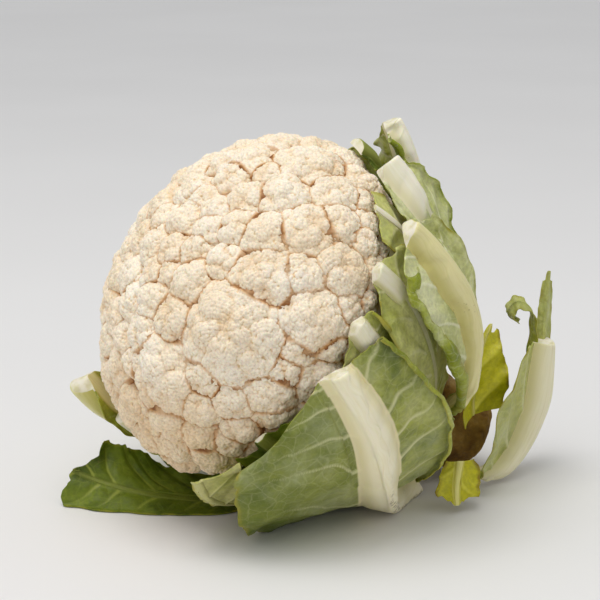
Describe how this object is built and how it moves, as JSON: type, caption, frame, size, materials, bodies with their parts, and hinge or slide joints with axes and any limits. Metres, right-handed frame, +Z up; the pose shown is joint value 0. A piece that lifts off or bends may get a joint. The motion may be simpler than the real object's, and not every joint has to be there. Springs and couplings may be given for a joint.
{
  "type": "cauliflower",
  "caption": "Trimmed cauliflower head lying on its side, with a domed curd, a stem stump and cut leaves around it.",
  "frame": {"origin": "middle of the bottom of the whole object's box, on the surface that it lies on", "axes": "+Z up, +X towards the cut stem, -X towards the crown of the curd, -Y the side with the thick curved front rib"},
  "size_m": [0.2422, 0.1932, 0.1798],
  "materials": {
    "curd": "matt, waxy, finely beaded",
    "stem": "dry and rough",
    "green_leaf": "waxy bloom over a cream rib",
    "pale_leaf": "waxy",
    "dark_leaf": "satin",
    "yellow_leaf": "satin"
  },
  "bodies": {
    "root": {"curd": "curd", "stem_stump": "stem", "leaf_collar_right": "pale_leaf", "leaf_collar_top": "dark_leaf", "leaf_inner_front": "pale_leaf", "leaf_inner_right": "pale_leaf", "leaf_collar_front": "dark_leaf", "leaf_collar_left": "pale_leaf", "leaf_collar_back": "pale_leaf", "leaf_collar_low": "pale_leaf", "leaf_front_small": "yellow_leaf", "leaf_upper": "green_leaf", "leaf_left_rib": "yellow_leaf", "leaf_back_upper": "green_leaf", "leaf_top": "green_leaf", "leaf_side_rib": "green_leaf", "leaf_back_low": "green_leaf", "leaf_back_middle": "green_leaf", "leaf_floor_left": "dark_leaf", "leaf_front_rib": "green_leaf", "leaf_old_yellow": "yellow_leaf", "leaf_outer_right": "green_leaf", "leaf_torn_base": "yellow_leaf"}
  },
  "joints": []
}
